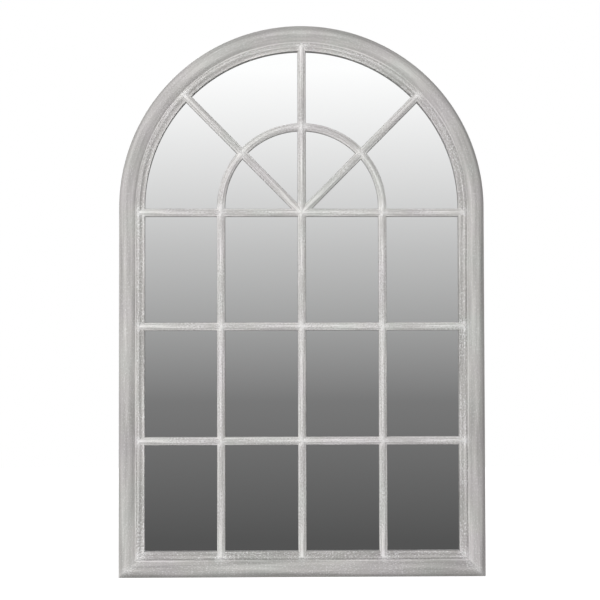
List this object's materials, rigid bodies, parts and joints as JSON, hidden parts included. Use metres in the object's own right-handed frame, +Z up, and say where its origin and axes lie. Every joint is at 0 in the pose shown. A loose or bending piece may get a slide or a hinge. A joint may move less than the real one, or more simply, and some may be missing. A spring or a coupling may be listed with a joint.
{
  "type": "arched window mirror",
  "caption": "Round-topped wall mirror with a painted wooden frame, a raised sash moulding and window-style glazing bars with a small fan arch over the glass.",
  "frame": {"origin": "middle of the bottom rail's flat underside, half way through the frame's depth", "axes": "+X to the viewer's right, -Y out of the mirror's face towards the viewer, +Y to the wall, +Z up"},
  "size_m": [0.762, 0.042, 1.15],
  "materials": {
    "painted_wood": "dry-brushed, rubbed-back off-white paint over warm grey",
    "raw_wood": "unfinished",
    "mirror_glass": "silvered float glass",
    "backing_board": "bare hardboard",
    "steel": "zinc plated",
    "rubber": "matt"
  },
  "bodies": {
    "frame": {"bottom_rail": "painted_wood", "left_stile": "painted_wood", "right_stile": "painted_wood", "arch_left": "painted_wood", "arch_top": "painted_wood", "arch_right": "painted_wood", "sash_left": "painted_wood", "sash_right": "painted_wood", "sash_bottom": "painted_wood", "sash_arch_left": "painted_wood", "sash_arch_top": "painted_wood", "sash_arch_right": "painted_wood", "bar_left": "painted_wood", "bar_centre": "painted_wood", "bar_right": "painted_wood", "transom_bar": "painted_wood", "lower_cross_bar": "painted_wood", "upper_cross_bar": "painted_wood", "spoke_left": "painted_wood", "spoke_right": "painted_wood", "fan_arch_left_foot": "painted_wood", "fan_arch_left_crown": "painted_wood", "fan_arch_right_crown": "painted_wood", "fan_arch_right_foot": "painted_wood", "mirror_glass": "mirror_glass", "backing_board": "backing_board", "framers_points": "steel", "arch_tenons": "raw_wood", "corner_splines": "raw_wood", "hanger_strap_left": "steel", "hanger_strap_right": "steel", "strap_screws": "steel", "wall_bumpers": "rubber"},
    "left_ring": {"hanger_ring_left": "steel"},
    "right_ring": {"hanger_ring_right": "steel"}
  },
  "joints": [
    {"name": "left_ring_hinge", "type": "hinge", "parent": "frame", "child": "left_ring", "pos_m": [-0.36775, 0.02115, 0.7], "axis": [1, 0, 0], "range_deg": [0, 180]},
    {"name": "right_ring_hinge", "type": "hinge", "parent": "frame", "child": "right_ring", "pos_m": [0.36775, 0.02115, 0.7], "axis": [1, 0, 0], "range_deg": [0, 180]}
  ]
}
